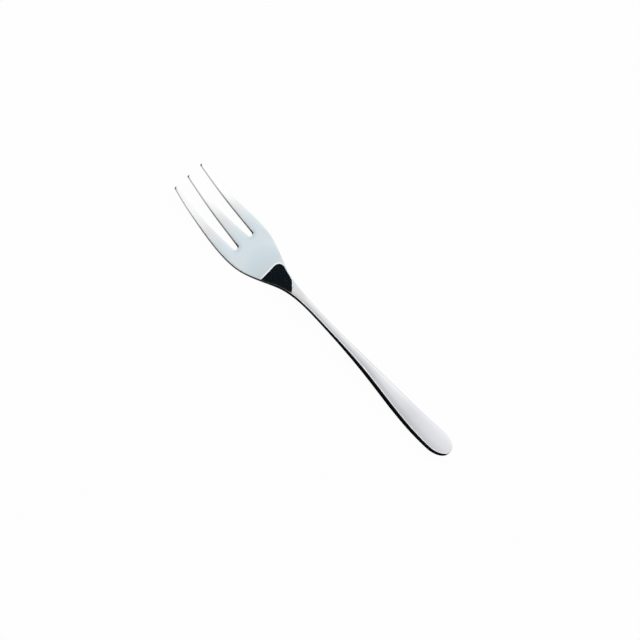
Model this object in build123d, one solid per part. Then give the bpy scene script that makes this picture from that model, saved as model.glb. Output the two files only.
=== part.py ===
from build123d import *
import os
from math import acos, cos, degrees, radians, sin, tan

# Pastry fork, slotted, pressed and polished from one stainless steel blank. Millimetres.
# It lies as on a table: +X runs from the tine tips to the handle's end, +Z is up,
# and the origin is on the table, under the middle of the fork.

# Lengths along the fork
LENGTH = 150.0  # tine tips to the handle's end
TINE_LENGTH = 34.2  # tips to the roots of the slots
CHEEK_LENGTH = 6.0  # slot roots to the cheek, behind which the bowl narrows fast
SHOULDER_LENGTH = 17.0  # slot roots to the shoulder, where the bowl narrows most and the slope begins
SLOPE_LENGTH = 6.2  # shoulder to the neck
NECK_LENGTH = 5.2  # neck to the throat, at the top of the slope
THROAT_LENGTH = 15.0  # throat to the waist, the narrowest place
HEEL_SETBACK = 17.8  # handle's end to the heel that it rests on
END_LENGTH = 7.5  # rounded end of the handle

# Tines and the two slots between them
TIP_WIDTH = 1.0  # each tine at its rounded tip
TIP_SPACING = 7.95  # middle tine's tip to an outer tine's tip
TIP_FLARE = 8.0  # degrees between the outer edge at a tip and the fork's axis
SLOT_WIDTH = 2.9  # slot at its root
SLOT_SPACING = 9.25  # between the middles of the two slot roots
ROOT_ROUND = 0.9  # corners of a slot's root
TINE_HOLLOW = 400.0  # radius of a tine's slightly hollow edge along a slot

# Widths across the fork
MID_TINE_WIDTH = 20.3  # outside the outer tines, half-way along them
BOWL_WIDTH = 22.85  # at the slot roots
CHEEK_WIDTH = 21.45
SHOULDER_WIDTH = 12.0
NECK_WIDTH = 6.35
THROAT_WIDTH = 4.25
WAIST_WIDTH = 2.85
GRIP_WIDTH = 4.8  # half-way from the waist to the heel
HEEL_WIDTH = 8.95
HANDLE_WIDTH = 9.6  # where the rounded end begins

# Thickness at the middle of the section
TIP_THICKNESS = 1.0
ROOT_THICKNESS = 1.25
SHOULDER_THICKNESS = 1.65
NECK_THICKNESS = 2.1
WAIST_THICKNESS = 2.35
HANDLE_THICKNESS = 2.95
END_THICKNESS = 2.45

# Height of the underside's middle above the heel
TIP_LIFT = 4.68
MID_TINE_LIFT = 0.89
ROOT_LIFT = -0.02
SHOULDER_LIFT = 0.39
NECK_LIFT = 1.09
THROAT_LIFT = 1.52
WAIST_LIFT = 1.72
GRIP_LIFT = 1.23
END_LIFT = 2.16

# Curve across the section, as the height between its middle and its edge
BOWL_DISH = 0.1  # hollow of the bowl
SHOULDER_CROWN = 0.14  # rounded top face at the shoulder
NECK_CROWN = 0.07  # rounded top face at the neck
WAIST_CROWN = 0.12  # rounded top face at the throat and the waist
NECK_BELLY = 0.8  # rounded underside from the neck to the waist
HANDLE_CROWN = 0.25  # rounded top face along the handle
HANDLE_BELLY = 0.1  # rounded underside along the handle

# Edges all round
EDGE_ROUND = 0.3  # polished round along the top face
EDGE_BEVEL = 0.1  # ground bevel along the underside
EDGE_SHARE = 0.8  # most of a tip's half width or half thickness that an edge may take

# The pressed sheet, before it is trimmed to the outline
TRIM = 0.4  # waste beyond the outline
SECTION_STEP = 7.5  # spacing of the sections that shape it

# Round of a tine's tip
TIP_ROUND = TIP_WIDTH / 2

# Places along the fork, from the tips
MID_TINE = TINE_LENGTH / 2
ROOT = TINE_LENGTH
CHEEK = ROOT + CHEEK_LENGTH
SHOULDER = ROOT + SHOULDER_LENGTH
NECK = SHOULDER + SLOPE_LENGTH
THROAT = NECK + NECK_LENGTH
WAIST = THROAT + THROAT_LENGTH
HEEL = LENGTH - HEEL_SETBACK
END = LENGTH - END_LENGTH
GRIP = (WAIST + HEEL) / 2


def end_direction(first, second, third):
    """Direction, for each unit of X, in which the parabola through three points passes the first of them."""
    near = (second - first) / (second - first).X
    far = (third - second) / (third - second).X
    return near + (near - far) * ((second - first).X / (third - first).X)


def smooth_line(points, tangents=None):
    """A curve through points in order of X, which runs evenly along X."""
    points = [Vector(point) for point in points]
    ends = tangents or [end_direction(*points[:3]), end_direction(*points[:-4:-1])]
    return Edge.make_spline(points, ends, parameters=[point.X for point in points], scale=False)


def tine_edge(tip, root, side):
    """A tine's hollow edge, from the tip's round to a slot root's: 1 for a slot to its left, -1 to its right."""
    run = root - tip
    tip_reach = TINE_HOLLOW + TIP_ROUND
    root_reach = TINE_HOLLOW - ROOT_ROUND
    lean = acos((run.length**2 + tip_reach**2 - root_reach**2) / (2 * run.length * tip_reach))
    to_centre = run.normalized().rotate(Axis.Z, side * degrees(lean))
    centre = tip + to_centre * tip_reach
    from_centre = (root - centre).normalized()
    halfway = (from_centre - to_centre).normalized()
    start, middle, end = [centre + way * TINE_HOLLOW for way in (-to_centre, halfway, from_centre)]
    return ThreePointArc(start, middle, end)


def blank_outline():
    """Plan of the fork: half of its outline, with one slot, and the mirror image of that."""
    middle_tip = Vector(TIP_ROUND, 0)
    outer_tip = Vector(TIP_ROUND, TIP_SPACING)
    root_middle = Vector(ROOT - ROOT_ROUND, SLOT_SPACING / 2)
    to_corner = Vector(0, SLOT_WIDTH / 2 - ROOT_ROUND)
    middle_edge = tine_edge(middle_tip, root_middle - to_corner, 1)
    outer_edge = tine_edge(outer_tip, root_middle + to_corner, -1)
    to_end = Vector(ROOT_ROUND, 0)
    root_end = Line(root_middle - to_corner + to_end, root_middle + to_corner + to_end)
    flare = radians(TIP_FLARE)
    side_start = outer_tip + Vector(-sin(flare), cos(flare)) * TIP_ROUND
    side = smooth_line(
        [
            side_start,
            (MID_TINE, MID_TINE_WIDTH / 2),
            (ROOT, BOWL_WIDTH / 2),
            (CHEEK, CHEEK_WIDTH / 2),
            (SHOULDER, SHOULDER_WIDTH / 2),
            (NECK, NECK_WIDTH / 2),
            (THROAT, THROAT_WIDTH / 2),
            (WAIST, WAIST_WIDTH / 2),
            (GRIP, GRIP_WIDTH / 2),
            (HEEL, HEEL_WIDTH / 2),
            (END, HANDLE_WIDTH / 2),
        ],
        tangents=[(1, tan(flare)), (1, 0)],
    )
    half = [
        TangentArc((0, 0), middle_edge @ 0, tangent=(0, 1)),
        middle_edge,
        TangentArc(root_end @ 0, middle_edge @ 1, tangent=(0, -1)),
        root_end,
        TangentArc(root_end @ 1, outer_edge @ 1, tangent=(0, 1)),
        outer_edge,
        ThreePointArc(outer_edge @ 0, (0, TIP_SPACING), side_start),
        side,
        EllipticalCenterArc((END, 0), END_LENGTH, HANDLE_WIDTH / 2, arc_size=90),
    ]
    return make_face(half + [edge.mirror(Plane.XZ) for edge in half])


def section(top_middle, top_edge, under_middle, under_edge):
    """One section across the sheet, with a curved top face and a curved underside."""

    def across(middle, edge):
        pull = Vector(edge.X, 0, 2 * middle.Z - edge.Z)
        return Bezier(edge, pull, Vector(edge.X, -edge.Y, edge.Z))

    top = across(top_middle, top_edge)
    under = across(under_middle, under_edge)
    return Wire([top, Line(top @ 1, under @ 1), under, Line(under @ 0, top @ 0)])


def pressed_sheet():
    """The pressed steel, a little larger than the fork: a loft that follows its rise and thickness."""
    mid_tine_thickness = (TIP_THICKNESS + ROOT_THICKNESS) / 2
    # place, width, underside, thickness, rise of the top face to its edge, rise of the underside to its edge
    stations = [
        (0, 2 * TIP_SPACING + TIP_WIDTH, TIP_LIFT, TIP_THICKNESS, 0, 0),
        (MID_TINE, MID_TINE_WIDTH, MID_TINE_LIFT, mid_tine_thickness, BOWL_DISH / 2, BOWL_DISH / 2),
        (ROOT, BOWL_WIDTH, ROOT_LIFT, ROOT_THICKNESS, BOWL_DISH, BOWL_DISH),
        (SHOULDER, SHOULDER_WIDTH, SHOULDER_LIFT, SHOULDER_THICKNESS, -SHOULDER_CROWN, BOWL_DISH),
        (NECK, NECK_WIDTH, NECK_LIFT, NECK_THICKNESS, -NECK_CROWN, NECK_BELLY / 2),
        (THROAT, THROAT_WIDTH, THROAT_LIFT, WAIST_THICKNESS, -WAIST_CROWN, NECK_BELLY),
        (WAIST, WAIST_WIDTH, WAIST_LIFT, WAIST_THICKNESS, -WAIST_CROWN, NECK_BELLY),
        (GRIP, GRIP_WIDTH, GRIP_LIFT, HANDLE_THICKNESS, -HANDLE_CROWN, HANDLE_BELLY),
        (HEEL, HEEL_WIDTH, 0, HANDLE_THICKNESS, -HANDLE_CROWN, HANDLE_BELLY),
        (LENGTH, HANDLE_WIDTH, END_LIFT, END_THICKNESS, -HANDLE_CROWN, HANDLE_BELLY),
    ]
    top_middle = []
    top_edge = []
    under_middle = []
    under_edge = []
    for place, width, lift, thickness, dish, belly in stations:
        edge = width / 2 + TRIM
        spread = (2 * edge / width) ** 2
        top_middle.append((place, 0, lift + thickness))
        top_edge.append((place, edge, lift + thickness + dish * spread))
        under_middle.append((place, 0, lift))
        under_edge.append((place, edge, lift + belly * spread))
    lines = [smooth_line(points) for points in (top_middle, top_edge, under_middle, under_edge)]

    def points_past(end, distance):
        """The four lines' points past their start or their end, straight on."""
        directions = [line % end for line in lines]
        return [line @ end + way * (distance / way.X) for line, way in zip(lines, directions)]

    steps = round(LENGTH / SECTION_STEP)
    places = [LENGTH * step / steps for step in range(steps + 1)]
    rows = [[Vector(line.geom_adaptor().Value(place)) for line in lines] for place in places]
    rows = [points_past(0, -TRIM), *rows, points_past(1, TRIM)]
    return Solid.make_loft([section(*row) for row in rows])


def main_faces(solid):
    """The fork's two large faces: its underside and its top face."""
    return solid.faces().sort_by(SortBy.AREA)[-2:].sort_by(Axis.Z)


def fork():
    """The sheet trimmed to the outline, with its edges finished, set down on the table."""
    sheet = pressed_sheet()
    box = sheet.bounding_box()
    blank = Solid.extrude(blank_outline().face(), Vector(0, 0, box.size.Z))
    trimmed = sheet & blank.moved(Pos(0, 0, box.min.Z))
    most = EDGE_SHARE * min(TIP_ROUND, TIP_THICKNESS / 2)
    rounded = trimmed.fillet(min(EDGE_ROUND, most), main_faces(trimmed)[1].edges())
    finished = rounded.chamfer(min(EDGE_BEVEL, most), None, main_faces(rounded)[0].edges())
    return finished.moved(Pos(-LENGTH / 2, 0, -finished.bounding_box().min.Z))


os.makedirs("parts", exist_ok=True)
export_step(fork(), "parts/fork.step")
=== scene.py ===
from math import acos, atan2, cos, pi, radians, sin, tan

import bpy
import numpy as np
from mathutils import Matrix, Vector
from mathutils.geometry import delaunay_2d_cdt


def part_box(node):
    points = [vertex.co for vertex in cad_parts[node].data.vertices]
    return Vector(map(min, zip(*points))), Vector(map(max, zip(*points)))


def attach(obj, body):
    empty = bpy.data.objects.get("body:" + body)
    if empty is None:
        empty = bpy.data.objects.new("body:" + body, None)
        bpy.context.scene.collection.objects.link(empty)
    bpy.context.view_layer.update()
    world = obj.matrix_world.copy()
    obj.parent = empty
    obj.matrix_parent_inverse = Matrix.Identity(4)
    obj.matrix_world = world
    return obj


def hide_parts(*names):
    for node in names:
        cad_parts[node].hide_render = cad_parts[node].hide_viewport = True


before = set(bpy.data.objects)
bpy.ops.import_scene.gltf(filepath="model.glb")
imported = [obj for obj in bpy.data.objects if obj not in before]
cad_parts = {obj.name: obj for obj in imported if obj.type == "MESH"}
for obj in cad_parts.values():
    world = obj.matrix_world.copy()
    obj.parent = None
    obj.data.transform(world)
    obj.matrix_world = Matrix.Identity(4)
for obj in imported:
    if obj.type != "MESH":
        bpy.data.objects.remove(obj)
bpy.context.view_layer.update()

MM = 0.001

# The fork's own sizes in millimetres, in the CAD's frame but counted along X from the tine tips.
LENGTH = 150.0
TINE_LENGTH = 34.2
END_LENGTH = 7.5  # rounded end of the handle
TIP_ROUND = 0.5
TIP_SPACING = 7.95
TIP_FLARE = 8.0  # degrees
SLOT_WIDTH = 2.9
SLOT_SPACING = 9.25
ROOT_ROUND = 0.9  # corners of a slot's root
TINE_HOLLOW = 400.0  # radius of a tine's slightly hollow edge along a slot
CHEEK = (40.2, 21.45)  # place and width of the bowl where it begins to narrow fast
TRIM = 0.4  # waste of the pressed sheet beyond the outline

# Stations along the fork: place, width, height of the underside, thickness,
# and how far the top face and the underside rise to their edges.
STATIONS = (
    (0.0, 16.9, 4.68, 1.0, 0.0, 0.0),  # tine tips
    (17.1, 20.3, 0.89, 1.125, 0.05, 0.05),  # half-way along the tines
    (34.2, 22.85, -0.02, 1.25, 0.1, 0.1),  # slot roots
    (51.2, 12.0, 0.39, 1.65, -0.14, 0.1),  # shoulder
    (57.4, 6.35, 1.09, 2.1, -0.07, 0.2),  # neck
    (62.6, 4.25, 1.52, 2.35, -0.12, 0.65),  # throat
    (77.6, 2.85, 1.72, 2.35, -0.12, 0.6),  # waist
    (104.9, 4.8, 1.23, 2.95, -0.25, 0.02),  # grip
    (132.2, 8.95, 0.0, 2.95, -0.25, 0.02),  # heel
    (150.0, 9.6, 2.16, 2.45, -0.25, 0.02),  # handle's end
)

# The polished edge, as the buffing wheel leaves it.
ROLL_WIDTH = 0.45  # rounded top edge, in from the outline
ROLL_DEPTH = 0.22
# Place, then the shares of the roll's width and depth there: domed tine tips, crisp bowl, softer handle.
ROLL_SHARES = ((0.35, 0.9, 2.2), (1.2, 0.3, 0.3), (60.0, 0.3, 0.3), (68.0, 0.65, 0.65))
# The head's top face also falls away softly to its edges:
# place and reach in from the outline, then place and slope at the edge.
SOFT_REACH = ((0.5, 0.45), (17.1, 1.3), (30.0, 2.4), (33.0, 2.4), (36.5, 1.3), (40.0, 1.0))
SOFT_SLOPE = ((33.0, 0.085), (38.0, 0.07), (42.0, 0.07), (47.0, 0.0))
BEVEL_WIDTH = 0.04  # eased lower edge
BEVEL_DEPTH = 0.04

# Fineness of the mesh.
OUTLINE_STEP = 0.28
FACE_STEP = 0.42
FACE_CLEARANCE = 0.6  # share of a face step that is kept free along the outline
ROLL_STEPS = 10
WALL_STEPS = 4
BEVEL_STEPS = 5
TIP_STEPS = 8  # steps to a length of one tip radius
ROOT_STEPS = 4  # steps across a slot's root, between its corners
ARC_STEPS = 8  # fewest steps along an arc
MERGE = 1e-6  # points nearer to each other than this are one

# What the blank's points keep for the press: the heights of both faces, the turns of the rolled top edge
# and of the lower bevel, and the share of the way down the wall.
BLANK_FACTS = ("top_height", "under_height", "roll_turn", "bevel_turn", "wall_share")


def clamped_curve(places, heights, first_slope, last_slope):
    """A smooth curve through heights at places along the fork, with a slope given at each end."""
    x = np.array(places)
    y = np.array(heights)
    gap = np.diff(x)
    chord = np.diff(y) / gap
    matrix = np.eye(len(x))
    wanted = np.zeros(len(x))
    wanted[0] = first_slope
    wanted[-1] = last_slope
    for i in range(1, len(x) - 1):
        matrix[i, i - 1 : i + 2] = 1 / gap[i - 1], 2 / gap[i - 1] + 2 / gap[i], 1 / gap[i]
        wanted[i] = 3 * (chord[i - 1] / gap[i - 1] + chord[i] / gap[i])
    slope = np.linalg.solve(matrix, wanted)

    def at(place):
        place = np.clip(np.asarray(place, float), x[0], x[-1])
        i = np.clip(np.searchsorted(x, place) - 1, 0, len(gap) - 1)
        t = (place - x[i]) / gap[i]
        rise = y[i] * (1 + 2 * t) * (1 - t) ** 2 + y[i + 1] * t * t * (3 - 2 * t)
        return rise + gap[i] * (slope[i] * t * (1 - t) ** 2 - slope[i + 1] * t * t * (1 - t))

    return at


def end_slope(places, heights):
    """Slope at the first of three places of the parabola through their heights."""
    near = (heights[1] - heights[0]) / (places[1] - places[0])
    far = (heights[2] - heights[1]) / (places[2] - places[1])
    return near + (near - far) * (places[1] - places[0]) / (places[2] - places[0])


def station_curve(heights):
    """A smooth curve along the fork through one height for each station."""
    places = [station[0] for station in STATIONS]
    return clamped_curve(places, heights, end_slope(places, heights), end_slope(places[::-1], heights[::-1]))


def pressed_heights():
    """Heights of the top face and of the underside, as functions of a place and a distance from the axis."""
    edges = [station[1] / 2 + TRIM for station in STATIONS]
    spreads = [(2 * edge / station[1]) ** 2 for edge, station in zip(edges, STATIONS)]
    edge_line = station_curve(edges)
    under_middle = station_curve([station[2] for station in STATIONS])
    top_middle = station_curve([station[2] + station[3] for station in STATIONS])
    top_edge = station_curve([s[2] + s[3] + s[4] * spread for s, spread in zip(STATIONS, spreads)])
    under_edge = station_curve([s[2] + s[5] * spread for s, spread in zip(STATIONS, spreads)])

    def top(x, y):
        return top_middle(x) + (top_edge(x) - top_middle(x)) * (y / edge_line(x)) ** 2

    def under(x, y):
        return under_middle(x) + (under_edge(x) - under_middle(x)) * (y / edge_line(x)) ** 2

    return top, under


def arc(centre, radius, start, turn, step):
    """Points along an arc from an angle through a turn, in radians, as an array without the last point."""
    count = max(ARC_STEPS, round(abs(turn) * radius / step))
    angles = start + turn * np.arange(count) / count
    return np.column_stack((centre[0] + radius * np.cos(angles), centre[1] + radius * np.sin(angles)))


def tine_edge(tip, root, side):
    """Centre of a tine's hollow edge, and its angles at the tip's round and at the slot root's."""
    run = root - tip
    tip_reach = TINE_HOLLOW + TIP_ROUND
    root_reach = TINE_HOLLOW - ROOT_ROUND
    lean = acos((run.length**2 + tip_reach**2 - root_reach**2) / (2 * run.length * tip_reach))
    heading = atan2(run.y, run.x) + side * lean
    centre = tip + Vector((cos(heading), sin(heading))) * tip_reach
    back = tip - centre
    end = root - centre
    return centre, atan2(back.y, back.x), atan2(end.y, end.x)


def turn_between(start, end, sign):
    """The turn from one angle to another in the sense of sign."""
    turn = (end - start) % (2 * pi)
    return turn if sign > 0 else turn - 2 * pi


def half_outline():
    """Half of the fork's outline, from the middle tine's tip round one slot to the handle's end."""
    middle_tip = Vector((TIP_ROUND, 0))
    outer_tip = Vector((TIP_ROUND, TIP_SPACING))
    across = SLOT_WIDTH / 2 - ROOT_ROUND
    middle_root = Vector((TINE_LENGTH - ROOT_ROUND, SLOT_SPACING / 2 - across))
    outer_root = Vector((TINE_LENGTH - ROOT_ROUND, SLOT_SPACING / 2 + across))
    middle_centre, middle_start, middle_end = tine_edge(middle_tip, middle_root, 1)
    outer_centre, outer_start, outer_end = tine_edge(outer_tip, outer_root, -1)
    middle_turn = turn_between(middle_start, middle_end, 1)
    outer_turn = turn_between(outer_end, outer_start, 1)
    middle_touch = middle_start + pi
    outer_touch = outer_start + pi
    flare = radians(TIP_FLARE)
    side_place = TIP_ROUND - sin(flare) * TIP_ROUND
    end_place = LENGTH - END_LENGTH
    end_width = STATIONS[-1][1]
    sides = [(side_place, 2 * (TIP_SPACING + cos(flare) * TIP_ROUND)), CHEEK, (end_place, end_width)]
    sides = np.array(sorted(sides + [station[:2] for station in STATIONS[1:-1]]))
    side = clamped_curve(sides[:, 0], sides[:, 1] / 2, tan(flare), 0)
    count = round((end_place - side_place) / OUTLINE_STEP)
    x = side_place + (end_place - side_place) * np.arange(count) / count
    fine = TIP_ROUND / TIP_STEPS
    quarter = arc((0, 0), 1, pi / 2, -pi / 2, OUTLINE_STEP / END_LENGTH)
    pieces = [
        arc(middle_tip, TIP_ROUND, pi, turn_between(pi, middle_touch, -1), fine),
        arc(middle_centre, TINE_HOLLOW, middle_start, middle_turn, OUTLINE_STEP),
        arc(middle_root, ROOT_ROUND, middle_end, turn_between(middle_end, 0, 1), OUTLINE_STEP / 2),
        [(TINE_LENGTH, y) for y in np.linspace(middle_root.y, outer_root.y, ROOT_STEPS + 1)[:-1]],
        arc(outer_root, ROOT_ROUND, 0, turn_between(0, outer_end, 1), OUTLINE_STEP / 2),
        arc(outer_centre, TINE_HOLLOW, outer_end, outer_turn, OUTLINE_STEP),
        arc(outer_tip, TIP_ROUND, outer_touch, turn_between(outer_touch, pi / 2 + flare, -1), fine),
        np.column_stack((x, side(x))),
        quarter * (END_LENGTH, end_width / 2) + (end_place, 0),
        [(LENGTH, 0)],
    ]
    return np.vstack(pieces)


def whole_outline():
    """The outline once round, with the unit vectors that point from it into the steel."""
    half = half_outline()
    outline = np.vstack((half, half[-2:0:-1] * (1, -1)))
    along = np.roll(outline, -1, 0) - np.roll(outline, 1, 0)
    along /= np.linalg.norm(along, axis=1)[:, None]
    return outline, np.column_stack((along[:, 1], -along[:, 0]))


def inside(points, loop):
    """Whether each point lies within a closed loop."""
    first = loop
    second = np.roll(loop, -1, 0)
    x = points[:, 0, None]
    y = points[:, 1, None]
    crosses = (first[:, 1] > y) != (second[:, 1] > y)
    run = second[:, 1] - first[:, 1]
    reach = first[:, 0] + (y - first[:, 1]) * (second[:, 0] - first[:, 0]) / np.where(run == 0, 1, run)
    return (crosses & (x < reach)).sum(1) % 2 == 1


def edge_distance(points, loop):
    """How far each point lies from a closed loop."""
    run = np.roll(loop, -1, 0) - loop
    length = (run**2).sum(1)
    distances = []
    for point in points:
        share = np.clip(((point - loop) * run).sum(1) / length, 0, 1)
        distances.append(np.linalg.norm(loop + run * share[:, None] - point, axis=1).min())
    return np.array(distances)


def face_points(loop):
    """A grid of points within the loop, clear of it by a good part of a step."""
    low = loop.min(0)
    high = loop.max(0)
    counts = np.ceil((high - low) / FACE_STEP).astype(int)
    x = np.linspace(low[0], high[0], counts[0] + 1)
    y = np.linspace(low[1], high[1], counts[1] + 1)
    grid = np.array(np.meshgrid(x, y)).reshape(2, -1).T
    grid = grid[inside(grid, loop)]
    return grid[edge_distance(grid, loop) > FACE_CLEARANCE * FACE_STEP]


def face_triangles(loop, grid):
    """Triangles that join a loop and the grid of points within it, by the points' numbers."""
    flat = [Vector(point) for point in np.vstack((loop, grid))]
    keep_inside = 1
    cut = delaunay_2d_cdt(flat, [], [list(range(len(loop)))], keep_inside, MERGE)
    origin = [sources[0] for sources in cut[3]]
    return [[origin[corner] for corner in triangle] for triangle in cut[2]]


def soft_drop(places, distances):
    """How far the soft edge lowers the top face at places along the fork and distances from its outline."""
    reach = np.interp(places, *zip(*SOFT_REACH))
    slope = np.interp(places, *zip(*SOFT_SLOPE))
    return slope * reach / 2 * (1 - np.minimum(distances / reach, 1)) ** 2


def edge_rings():
    """The rings of points round the edge, from the top face to the underside.

    Each has its distance in from the outline, the turns of the roll and of the bevel there,
    and its share of the way down the wall.
    """
    rings = []
    for step in range(ROLL_STEPS + 1):
        angle = pi / 2 * step / ROLL_STEPS
        rings.append((ROLL_WIDTH * (1 - sin(angle)), 1 - cos(angle), 1, 0))
    for step in range(1, WALL_STEPS):
        rings.append((0, 1, 1, step / WALL_STEPS))
    for step in range(BEVEL_STEPS + 1):
        angle = pi / 2 * (1 - step / BEVEL_STEPS)
        rings.append((BEVEL_WIDTH * (1 - sin(angle)), 1, 1 - cos(angle), 1))
    rings.append((ROLL_WIDTH, 1, 0, 1))
    return rings


def blank_mesh():
    """The flat blank as a mesh: both faces, and rings of points round the edge that the press then lifts."""
    outline, inward = whole_outline()
    places, widths, depths = zip(*ROLL_SHARES)
    width_share = np.interp(outline[:, 0], places, widths)
    depth_share = np.interp(outline[:, 0], places, depths)
    rings = edge_rings()
    points = []
    facts = []
    insets = []
    for inset, roll, bevel, down in rings:
        insets.append(inset * width_share)
        points.append(outline + inward * insets[-1][:, None])
        facts.append(np.column_stack((roll * depth_share, bevel * width_share, np.full(len(outline), down))))
    grid = face_points(points[0])
    triangles = face_triangles(points[0], grid)
    size = len(outline)
    points += [grid, grid]
    insets += [edge_distance(grid, outline)] * 2
    facts.append(np.tile((0.0, 1.0, 0.0), (len(grid), 1)))
    facts.append(np.tile((1.0, 0.0, 1.0), (len(grid), 1)))
    faces = []
    for ring in range(len(rings) - 1):
        for i in range(size):
            j = (i + 1) % size
            a = ring * size
            faces.append((a + i, a + j, a + size + j, a + size + i))
    # A triangle's corners are numbered round the loop and on through the grid. The top face's loop is the
    # first ring, the underside's is the last, and after it come the top face's grid and the underside's.
    last = size * (len(rings) - 1)
    for triangle in triangles:
        faces.append([c if c < size else last + c for c in triangle])
        faces.append([last + c if c < size else last + len(grid) + c for c in reversed(triangle)])
    points = np.vstack(points)
    x, y = points.T
    top, under = pressed_heights()
    heights = (top(x, y) - soft_drop(x, np.hstack(insets))) * MM
    mesh = bpy.data.meshes.new("fork_blank")
    middle = (LENGTH / 2, 0)
    corners = np.column_stack(((points - middle) * MM, np.zeros(len(points))))
    mesh.from_pydata(corners.tolist(), [], faces)
    for name, values in zip(BLANK_FACTS, (heights, under(x, y) * MM, *np.vstack(facts).T)):
        layer = mesh.attributes.new(name, "FLOAT", "POINT")
        layer.data.foreach_set("value", values.astype(np.float32))
    return mesh


NODE_RIGHT = 220  # spacing of the nodes in their editor
NODE_DOWN = 200
MATH = "ShaderNodeMath"


def add(tree, kind, place, links=(), **settings):
    """Adds a node with its settings, and gives inputs a socket, a node's first output or a plain value."""
    node = tree.nodes.new(kind)
    node.location = (NODE_RIGHT * place[0], -NODE_DOWN * place[1])
    for name, value in settings.items():
        setattr(node, name, value)
    for key, source in links:
        if isinstance(source, bpy.types.Node):
            source = source.outputs[0]
        if isinstance(source, bpy.types.NodeSocket):
            tree.links.new(source, node.inputs[key])
        else:
            node.inputs[key].default_value = source
    return node


def press_tree(steel):
    """Presses the flat blank: top face less the roll, underside plus the bevel, and the wall between them."""
    tree = bpy.data.node_groups.new("press_fork", "GeometryNodeTree")
    face = tree.interface
    face.new_socket("Blank", in_out="INPUT", socket_type="NodeSocketGeometry")
    roll = face.new_socket("Roll Depth", in_out="INPUT", socket_type="NodeSocketFloat")
    bevel = face.new_socket("Bevel Depth", in_out="INPUT", socket_type="NodeSocketFloat")
    face.new_socket("Fork", in_out="OUTPUT", socket_type="NodeSocketGeometry")
    given = add(tree, "NodeGroupInput", (0, 0)).outputs
    top, under, roll_turn, bevel_turn, down = [
        add(tree, "GeometryNodeInputNamedAttribute", (0, row), [("Name", name)], data_type="FLOAT")
        for row, name in enumerate(BLANK_FACTS, 1)
    ]
    roll_drop = add(tree, MATH, (1, 2), [(0, roll_turn), (1, given["Roll Depth"])], operation="MULTIPLY")
    bevel_rise = add(tree, MATH, (1, 4), [(0, bevel_turn), (1, given["Bevel Depth"])], operation="MULTIPLY")
    upper = add(tree, MATH, (2, 1), [(0, top), (1, roll_drop)], operation="SUBTRACT")
    lower = add(tree, MATH, (2, 3), [(0, under), (1, bevel_rise)], operation="ADD")
    fall = add(tree, MATH, (3, 3), [(0, lower), (1, upper)], operation="SUBTRACT")
    drop = add(tree, MATH, (4, 3), [(0, down), (1, fall)], operation="MULTIPLY")
    height = add(tree, MATH, (5, 1), [(0, upper), (1, drop)], operation="ADD")
    lift = add(tree, "ShaderNodeCombineXYZ", (6, 1), [("Z", height)])
    pressed = add(tree, "GeometryNodeSetPosition", (7, 0), [("Geometry", given["Blank"]), ("Offset", lift)])
    smooth = add(tree, "GeometryNodeSetShadeSmooth", (8, 0), [("Geometry", pressed)])
    real = add(tree, "GeometryNodeRealizeInstances", (9, 0), [("Geometry", smooth)])
    dressed = add(tree, "GeometryNodeSetMaterial", (10, 0), [("Geometry", real), ("Material", steel)])
    add(tree, "NodeGroupOutput", (11, 0), [("Fork", dressed)])
    return tree, roll.identifier, bevel.identifier


def at_origin(name, data):
    """A new object in the scene, at the origin."""
    thing = bpy.data.objects.new(name, data)
    bpy.context.scene.collection.objects.link(thing)
    return thing


def fork_piece(steel):
    """The fork as one plain mesh, pressed from its blank and set down where the CAD node lies."""
    blank = at_origin("fork_blank", blank_mesh())
    tree, roll, bevel = press_tree(steel)
    press = blank.modifiers.new("press", "NODES")
    press.node_group = tree
    press[roll] = ROLL_DEPTH * MM
    press[bevel] = BEVEL_DEPTH * MM
    evaluated = blank.evaluated_get(bpy.context.evaluated_depsgraph_get())
    mesh = bpy.data.meshes.new_from_object(evaluated)
    lowest = min(vertex.co.z for vertex in mesh.vertices)
    mesh.transform(Matrix.Translation((0, 0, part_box("fork")[0][2] - lowest)))
    for name in BLANK_FACTS:
        mesh.attributes.remove(mesh.attributes[name])
    mesh.name = "fork_polished"
    bpy.data.objects.remove(blank)
    return at_origin("fork_polished", mesh)


def linear(hex_colour):
    """Linear colour of an sRGB hex value, with an alpha of one."""
    parts = [int(hex_colour[i : i + 2], 16) / 255 for i in (1, 3, 5)]
    return (*[p / 12.92 if p <= 0.04045 else ((p + 0.055) / 1.055) ** 2.4 for p in parts], 1.0)


STEEL = "#E6E6E5"
STEEL_DULLER = "#E0E1E1"
CLOUD_SIZE = 14.0  # patches where the polish is a little duller
STREAK_WIDTH = 0.9  # the buffing wheel's streaks, drawn coarser than they are so that they show
STREAK_LENGTH = 40.0
STREAK_DEPTH = 0.02
STREAK_STRENGTH = 0.02
STREAK_RANGE = (0.35, 0.8)  # part of the noise that hazes the polish
HAZE = (0.015, 0.045)  # roughness between the streaks and in them


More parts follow.
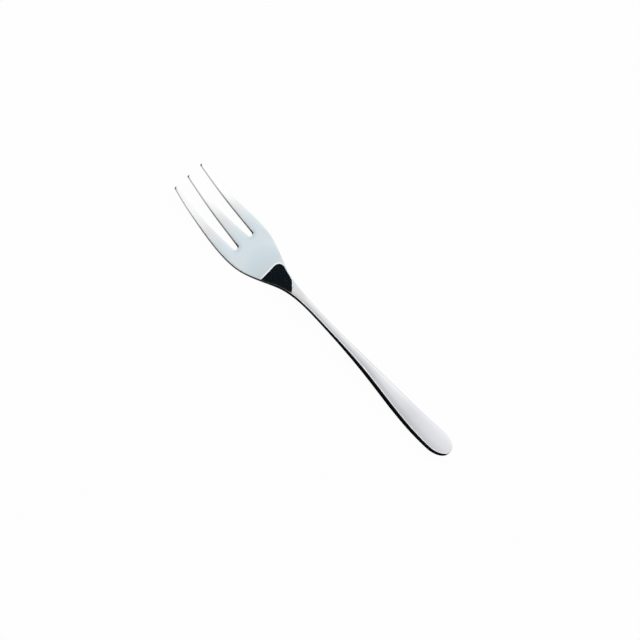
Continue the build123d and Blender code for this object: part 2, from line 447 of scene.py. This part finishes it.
def polished_stainless_steel():
    """Stainless steel, stamped and then buffed to a mirror.

    It shows its surroundings sharply, a little darker than they are, and slightly hazed in faint streaks
    along the fork, where the buffing wheel ran.
    """
    material = bpy.data.materials.new("polished_stainless_steel")
    material.use_nodes = True
    tree = material.node_tree
    shader = tree.nodes["Principled BSDF"]
    shader.inputs["Metallic"].default_value = 1.0
    place = add(tree, "ShaderNodeTexCoord", (0, 0)).outputs["Object"]
    across = 1 / (STREAK_WIDTH * MM)
    sizes = (1 / (STREAK_LENGTH * MM), across, across)
    cloud = 1 / (CLOUD_SIZE * MM)
    run = add(tree, "ShaderNodeMapping", (1, 0), [("Vector", place), ("Scale", sizes)])
    streaks = add(tree, "ShaderNodeTexNoise", (2, 0), [("Vector", run), ("Scale", 1.0), ("Detail", 4.0)])
    clouds = add(tree, "ShaderNodeTexNoise", (2, 1), [("Vector", place), ("Scale", cloud), ("Detail", 3.0)])
    limits = zip(("From Min", "From Max", "To Min", "To Max"), STREAK_RANGE + HAZE)
    haze = add(tree, "ShaderNodeMapRange", (3, 0), [("Value", streaks), *limits])
    colours = [(6, linear(STEEL)), (7, linear(STEEL_DULLER))]
    tint = add(tree, "ShaderNodeMix", (3, 1), [("Factor", clouds), *colours], data_type="RGBA")
    depth = [("Strength", STREAK_STRENGTH), ("Distance", STREAK_DEPTH * MM)]
    lines = add(tree, "ShaderNodeBump", (3, 2), [("Height", streaks), *depth])
    tree.links.new(haze.outputs[0], shader.inputs["Roughness"])
    tree.links.new(tint.outputs[2], shader.inputs["Base Color"])
    tree.links.new(lines.outputs[0], shader.inputs["Normal"])
    return material


def stage_piece(name, mesh, material_name):
    """A part of the studio with an empty node material, whose tree it gives too."""
    material = bpy.data.materials.new(material_name)
    material.use_nodes = True
    material.node_tree.nodes.clear()
    mesh.materials.append(material)
    piece = at_origin(name, mesh)
    return piece, material.node_tree


def card(name, colour, corners, levels, covers=None, faces=None):
    """A card of the studio that only reflections see.

    Its corners are in millimetres, each with its brightness and how much of what is behind it it covers.
    """
    mesh = bpy.data.meshes.new(name)
    mesh.from_pydata([Vector(corner) * MM for corner in corners], [], faces or [range(len(corners))])
    for label, values in (("level", levels), ("cover", covers or [1] * len(corners))):
        layer = mesh.attributes.new(label, "FLOAT", "POINT")
        layer.data.foreach_set("value", np.array(values, np.float32))
    piece, tree = stage_piece(name, mesh, name)
    for kind in ("camera", "diffuse", "transmission", "volume_scatter", "shadow"):
        setattr(piece, "visible_" + kind, False)
    level = add(tree, "ShaderNodeAttribute", (0, 0), attribute_name="level").outputs["Fac"]
    cover = add(tree, "ShaderNodeAttribute", (0, 1), attribute_name="cover").outputs["Fac"]
    glow = add(tree, "ShaderNodeEmission", (1, 0), [("Color", linear(colour)), ("Strength", level)])
    clear = add(tree, "ShaderNodeBsdfTransparent", (1, 1))
    mix = add(tree, "ShaderNodeMixShader", (2, 0), [(0, cover), (1, clear), (2, glow)])
    add(tree, "ShaderNodeOutputMaterial", (3, 0), [("Surface", mix)])


def plain_card(name, colour, level, outline, height):
    """A level card of one brightness."""
    card(name, colour, [(x, y, height) for x, y in outline], [level] * len(outline))


def graded_card(name, colour, columns, rows, height):
    """A level card whose brightness and cover change along and across the fork."""
    corners = [(x, y, height) for x, level, cover in columns for y, share in rows]
    levels = [level * share for x, level, cover in columns for y, share in rows]
    covers = [cover for x, level, cover in columns for y, share in rows]
    count = len(rows)
    starts = [column * count + row for column in range(len(columns) - 1) for row in range(count - 1)]
    faces = [(i, i + count, i + count + 1, i + 1) for i in starts]
    card(name, colour, corners, levels, covers, faces)


# The cards round the fork. Places and heights are in millimetres from the fork's middle on the table.
# A graded card has columns, each a place along the fork, a brightness and a cover,
# and rows, each a place across the fork and a share of the brightness. A plain card has an outline.
WHITE_CARD = "#FFFFFF"
BLUE_CARD = "#ECF9FF"
BLACK_CARD = "#B4E4FF"  # tint of the little light that black card gives back
BLACK = 0.012  # brightness of black card
RIM = 1.2  # brightness of the white card that borders the neck's black one

# Painted shade: a dark card on the table, under the fork and before its near side, that only the steel sees
# in its reflections. It is black under the neck and handle and greyer under the raised tines.
BELOW_HEIGHT = -0.05
BELOW = (
    (-275, 0.65, 1), (-79.5, 0.65, 1), (-78.8, 0.02, 1), (-75.6, 0.02, 1), (-75.2, 0.65, 1), (-65, 0.58, 1),
    (-61, 0.45, 1), (-57, 0.28, 1), (-49, 0.24, 1), (-41, 0.15, 1), (-35, 0.08, 1), (-25, 0.02, 1),
    (-13, 0.004, 1), (275, 0.004, 1),
)
BELOW_ROWS = ((-300, 1), (12, 1))
# Painted shade in the slot roots' corners: a darker patch under them that only the steel's reflections see.
BELOW_ROOTS_HEIGHT = -0.03
BELOW_ROOTS = ((-44.5, 0.1, 0), (-42.8, 0.04, 0.6), (-41.8, 0.004, 1), (-39, 0.004, 1))
BELOW_ROOTS_ROWS = ((-7, 1), (7, 1))
AHEAD = ((-77, -9, 0), (-77, 11, 0), (-77, 11, 7.5), (-77, -9, 7.5))  # stands upright before the tips
OVER_TINES_HEIGHT = 25.0
OVER_TINES = (
    (-66, 1.26, 1), (-57, 1.26, 0.9), (-55, 1.24, 0.75), (-53.5, 1.2, 0.62), (-52, 1.15, 0.45),
    (-49.8, 1.1, 0.35), (-47.3, 1.02, 0.2), (-43, 1.0, 0),
)
OVER_TINES_ROWS = ((-4, 0.97), (7, 0.97), (15, 1.03), (23, 1.15), (60, 1.15))
OVER_BOWL_HEIGHT = 301.0
OVER_BOWL = ((-400, 0.89, 1), (-105, 0.89, 1), (-80, 0.9, 1), (-53, 0.965, 1), (-45, 1.01, 1), (-30, 1.03, 0))
OVER_BOWL_ROWS = (
    (60, 0.8), (115, 0.82), (130, 0.88), (150, 0.95), (182, 1), (215, 1.05), (245, 1.14), (320, 1.22),
)
OVER_NECK_HEIGHT = 300.0
OVER_NECK = (
    (-38, -300), (-68, 60), (-86, 118), (-94.5, 142), (-100.5, 154.5), (-104.6, 166.4), (-107, 178.3),
    (-106.9, 190.7), (-105, 203), (-106, 210), (-110, 219), (-119, 229), (-133.6, 237.4), (-145, 240.5),
    (-175, 246), (-175, -300),
)
OVER_NECK_RIM_HEIGHT = 300.5
OVER_NECK_RIM = (
    (-90, 142), (-96, 154), (-100, 166), (-102.3, 178), (-102.3, 191), (-100.5, 203), (-101, 211),
    (-105, 221.5), (-115, 231.5), (-131, 240), (-145, 243), (-150, 243), (-150, 142),
)
OVER_THROAT_HEIGHT = 25.0
OVER_THROAT = (
    (-30, 19.5), (-24.8, 19.2), (-23, 16.8), (-20.3, 12.7), (-18.6, 9.2), (-16.9, 5.7), (-17.3, -4),
    (-17.8, -12), (-18, -30), (-30, -30),
)
OVER_WAIST_HEIGHT = 25.5
OVER_WAIST = ((-20, 1, 1), (-11.5, 1, 1), (-8, 1, 0))
OVER_WAIST_ROWS = (
    (0, 0.7), (6, 0.72), (9.5, 0.8), (12, 0.9), (14, 0.905), (17, 0.91), (20, 0.97), (24, 1.05), (30, 1.05),
)


def studio_cards():
    """White over the tines and waist, pale blue over the bowl, black over the neck, painted dark shade below,
    dark ahead.
    """
    # The two cards below are painted shade, seen only in the steel's reflections.
    graded_card("card_below", WHITE_CARD, BELOW, BELOW_ROWS, BELOW_HEIGHT)
    graded_card("card_below_roots", WHITE_CARD, BELOW_ROOTS, BELOW_ROOTS_ROWS, BELOW_ROOTS_HEIGHT)
    card("card_ahead", BLACK_CARD, AHEAD, [BLACK] * len(AHEAD))
    graded_card("card_over_tines", WHITE_CARD, OVER_TINES, OVER_TINES_ROWS, OVER_TINES_HEIGHT)
    graded_card("card_over_bowl", BLUE_CARD, OVER_BOWL, OVER_BOWL_ROWS, OVER_BOWL_HEIGHT)
    plain_card("card_over_neck", BLACK_CARD, BLACK, OVER_NECK, OVER_NECK_HEIGHT)
    plain_card("card_over_neck_rim", WHITE_CARD, RIM, OVER_NECK_RIM, OVER_NECK_RIM_HEIGHT)
    plain_card("card_over_throat", BLACK_CARD, BLACK, OVER_THROAT, OVER_THROAT_HEIGHT)
    graded_card("card_over_waist", WHITE_CARD, OVER_WAIST, OVER_WAIST_ROWS, OVER_WAIST_HEIGHT)


TABLE_REACH = 6000.0  # from the fork's middle to the table's edges
TABLE_HEIGHT = -0.1  # a little below the fork, so that the lowest cards lie between
TABLE_PAINT = "#F7F7F7"
TABLE_WHITE = "#FFFFFF"
TABLE_GLOW = 0.965  # share of the table that is plain white to the eye and in the steel


def table_top():
    """The pale table: white to the eye and in the steel, with a share of paint that takes the shadow."""
    mesh = bpy.data.meshes.new("table_top")
    corners = [(-1, -1), (1, -1), (1, 1), (-1, 1)]
    places = [Vector((x * TABLE_REACH, y * TABLE_REACH, TABLE_HEIGHT)) * MM for x, y in corners]
    mesh.from_pydata(places, [], [range(4)])
    tree = stage_piece("table_top", mesh, "white_paper")[1]
    path = add(tree, "ShaderNodeLightPath", (0, 0)).outputs
    links = [(0, path["Is Camera Ray"]), (1, path["Is Glossy Ray"])]
    seen = add(tree, MATH, (1, 0), links, operation="MAXIMUM")
    through = add(tree, MATH, (2, 0), [(0, seen), (1, path["Is Transmission Ray"])], operation="MAXIMUM")
    share = add(tree, MATH, (3, 0), [(0, through), (1, TABLE_GLOW)], operation="MULTIPLY")
    paint = add(tree, "ShaderNodeBsdfDiffuse", (3, 1), [("Color", linear(TABLE_PAINT))])
    glow = add(tree, "ShaderNodeEmission", (3, 2), [("Color", linear(TABLE_WHITE))])
    mix = add(tree, "ShaderNodeMixShader", (4, 0), [(0, share), (1, paint), (2, glow)])
    add(tree, "ShaderNodeOutputMaterial", (5, 0), [("Surface", mix)])


SURROUND = "#F9FAFF"
# Brightness of the surround by degrees round the fork's length:
# from the table on the far side, over the top, to the table on the near side.
ROUND_LEVELS = (
    (0, 0.65), (22, 0.72), (36, 1.15), (40, 1.2), (47, 1.1), (51, 1.02), (55, 0.955), (58.7, 0.92),
    (62.5, 0.868), (66.3, 0.775), (70, 0.72), (79.5, 0.76), (82, 3.4), (87, 3.0), (89, 1.0), (98, 0.75),
    (106, 0.32), (150, 0.28), (165, 0.38), (180, 0.5),
)
# Share of it by how far a direction points along the fork, from -1 past the tips to 1 past the handle's end.
ALONG_LEVELS = (
    (-1, 0.6), (-0.8, 0.65), (-0.62, 0.75), (-0.5, 0.92), (-0.4, 1.08), (-0.2, 1.08), (0, 1.03), (0.06, 1.0),
    (0.13, 1.06), (0.22, 1.16), (0.3, 1.26), (0.42, 1.22), (0.55, 0.85), (0.7, 0.75), (1, 0.7),
)
CURVE_TOP = 1.5  # brightness at the top of a curve's own square


def set_curve(node, points):
    """Gives a curve node its points, joined smoothly."""
    curve = node.mapping.curves[0]
    while len(curve.points) < len(points):
        curve.points.new(0.5, 0.5)
    for point, (place, level) in zip(curve.points, points):
        point.location = (place, level / CURVE_TOP)
        point.handle_type = "AUTO_CLAMPED"
    node.mapping.use_clip = False
    node.mapping.update()


def studio():
    """Soft surround: pale on the far side, grey overhead with one bright strip, dim on the near side."""
    world = bpy.data.worlds.new("studio")
    bpy.context.scene.world = world
    world.use_nodes = True
    tree = world.node_tree
    tree.nodes.clear()
    way = add(tree, "ShaderNodeTexCoord", (0, 0)).outputs["Generated"]
    parts = add(tree, "ShaderNodeSeparateXYZ", (1, 0), [(0, way)]).outputs
    angle = add(tree, MATH, (2, 0), [(0, parts["Z"]), (1, parts["Y"])], operation="ARCTAN2")
    turn = add(tree, MATH, (3, 0), [(0, angle), (1, 1 / pi)], operation="MULTIPLY", use_clamp=True)
    shift = add(tree, MATH, (3, 2), [(0, parts["X"]), (1, 0.5), (2, 0.5)], operation="MULTIPLY_ADD")
    round_level = add(tree, "ShaderNodeFloatCurve", (4, 0), [("Value", turn)])
    along_level = add(tree, "ShaderNodeFloatCurve", (4, 2), [("Value", shift)])
    set_curve(round_level, [(degrees / 180, level) for degrees, level in ROUND_LEVELS])
    set_curve(along_level, [(x / 2 + 0.5, level) for x, level in ALONG_LEVELS])
    both = add(tree, MATH, (5, 1), [(0, round_level), (1, along_level)], operation="MULTIPLY")
    level = add(tree, MATH, (6, 1), [(0, both), (1, CURVE_TOP**2)], operation="MULTIPLY")
    glow = add(tree, "ShaderNodeBackground", (7, 0), [("Color", linear(SURROUND)), ("Strength", level)])
    add(tree, "ShaderNodeOutputWorld", (8, 0), [("Surface", glow)])


# The photograph's view: seen from this height in degrees, with the fork turned this much in the picture.
VIEW_HEIGHT = 58.68
VIEW_TURN = 46.37
VIEW_DISTANCE = 1480.0
PIXELS = 640
PIXELS_PER_MM = 2.534
CENTRE_RIGHT = 2.06  # the picture's middle from the origin, to the right in the picture and down
CENTRE_DOWN = 0.74
SENSOR = 36.0
NEAREST = 10.0  # limits of what the camera sees
FURTHEST = 50000.0


def photograph_camera():
    """The camera at the photograph's viewing angle."""
    height = radians(VIEW_HEIGHT)
    turn = radians(VIEW_TURN)
    view = Vector((0, cos(height), -sin(height)))
    across = Vector((1, 0, 0))
    upward = across.cross(view)
    right = across * cos(turn) + upward * sin(turn)
    up = upward * cos(turn) - across * sin(turn)
    centre = right * CENTRE_RIGHT - up * CENTRE_DOWN
    data = bpy.data.cameras.new("camera")
    data.sensor_width = SENSOR
    data.lens = PIXELS_PER_MM * SENSOR * VIEW_DISTANCE / PIXELS
    data.clip_start = NEAREST * MM
    data.clip_end = FURTHEST * MM
    camera = at_origin("camera", data)
    stand = Matrix.Translation((centre - view * VIEW_DISTANCE) * MM)
    camera.matrix_world = stand @ Matrix((right, up, -view)).transposed().to_4x4()
    bpy.context.scene.camera = camera


bpy.context.scene.view_settings.view_transform = "Standard"
photograph_camera()
table_top()
studio()
studio_cards()

fork = fork_piece(polished_stainless_steel())
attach(fork, "root")
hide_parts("fork")
